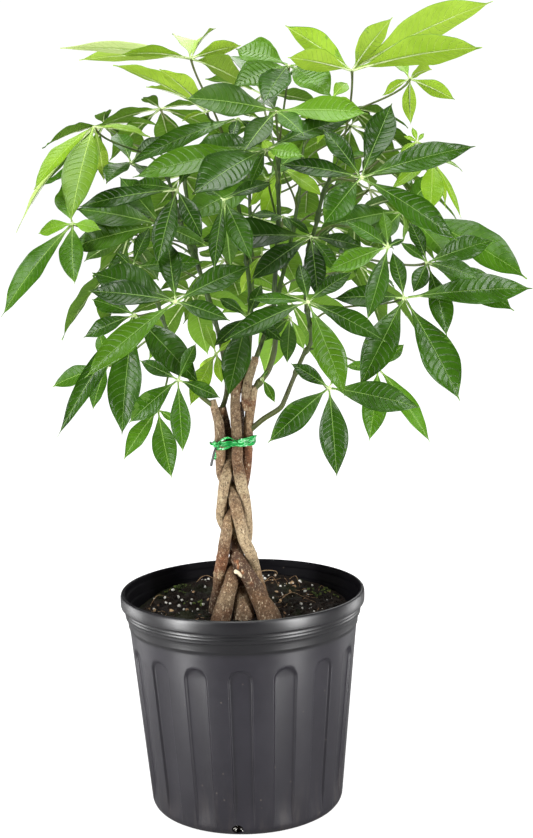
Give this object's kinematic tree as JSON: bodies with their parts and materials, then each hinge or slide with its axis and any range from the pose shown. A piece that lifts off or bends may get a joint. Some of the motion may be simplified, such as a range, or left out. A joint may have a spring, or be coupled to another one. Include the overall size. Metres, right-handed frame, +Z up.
{
  "type": "potted money tree",
  "caption": "Braided-trunk money tree with glossy palmate leaves, standing in a fluted black plastic nursery pot filled with potting soil.",
  "frame": {"origin": "on the ground at the centre of the pot's foot, on the pot's axis", "axes": "+Z up the pot's axis, +X to the right and -Y towards the viewer of the picture"},
  "size_m": [0.5496, 0.4623, 0.8568],
  "materials": {
    "pot_plastic": "satin, lightly scuffed moulded plastic",
    "potting_soil": "loose damp peat with white perlite grains",
    "bark": "thin smooth bark, mottled and speckled",
    "tie_plastic": "thin glossy ribbon",
    "shoot_skin": "smooth young green bark",
    "leaf_deep": "glossy, quilted between the veins",
    "leaf_mid": "glossy, quilted between the veins",
    "leaf_lime": "thin young blades, satin"
  },
  "bodies": {
    "root": {"pot": "pot_plastic", "soil": "potting_soil", "stem_left": "bark", "stem_left_behind": "bark", "stem_middle": "bark", "stem_right": "bark", "stem_back": "bark", "twist_tie": "tie_plastic", "shoot_right": "shoot_skin", "shoot_lower_right": "shoot_skin", "shoot_middle": "shoot_skin", "shoot_left": "shoot_skin", "shoot_far_left": "shoot_skin", "spray_back_right": "leaf_mid", "spray_back_left": "leaf_mid", "spray_back": "leaf_mid", "leaf_01": "leaf_lime", "leaf_02": "leaf_deep", "leaf_03": "leaf_lime", "leaf_04": "leaf_lime", "leaf_05": "leaf_deep", "leaf_06": "leaf_lime", "leaf_07": "leaf_lime", "leaf_08": "leaf_lime", "leaf_09": "leaf_mid", "leaf_10": "leaf_deep", "leaf_11": "leaf_deep", "leaf_12": "leaf_mid", "leaf_13": "leaf_mid", "leaf_14": "leaf_deep", "leaf_15": "leaf_lime", "leaf_16": "leaf_lime", "leaf_17": "leaf_mid", "leaf_18": "leaf_deep", "leaf_19": "leaf_mid", "leaf_20": "leaf_lime", "leaf_21": "leaf_deep", "leaf_22": "leaf_deep", "leaf_23": "leaf_mid", "leaf_24": "leaf_deep", "leaf_25": "leaf_deep", "leaf_26": "leaf_deep", "leaf_27": "leaf_deep", "leaf_28": "leaf_deep", "leaf_29": "leaf_deep", "leaf_30": "leaf_deep", "leaf_31": "leaf_deep", "leaf_32": "leaf_deep", "leaf_33": "leaf_deep", "leaf_34": "leaf_deep", "leaf_35": "leaf_lime", "leaf_36": "leaf_deep", "leaf_37": "leaf_mid", "leaf_38": "leaf_mid", "leaf_39": "leaf_deep", "leaf_40": "leaf_mid", "leaf_41": "leaf_lime", "leaf_42": "leaf_mid", "leaf_43": "leaf_mid"}
  },
  "joints": []
}
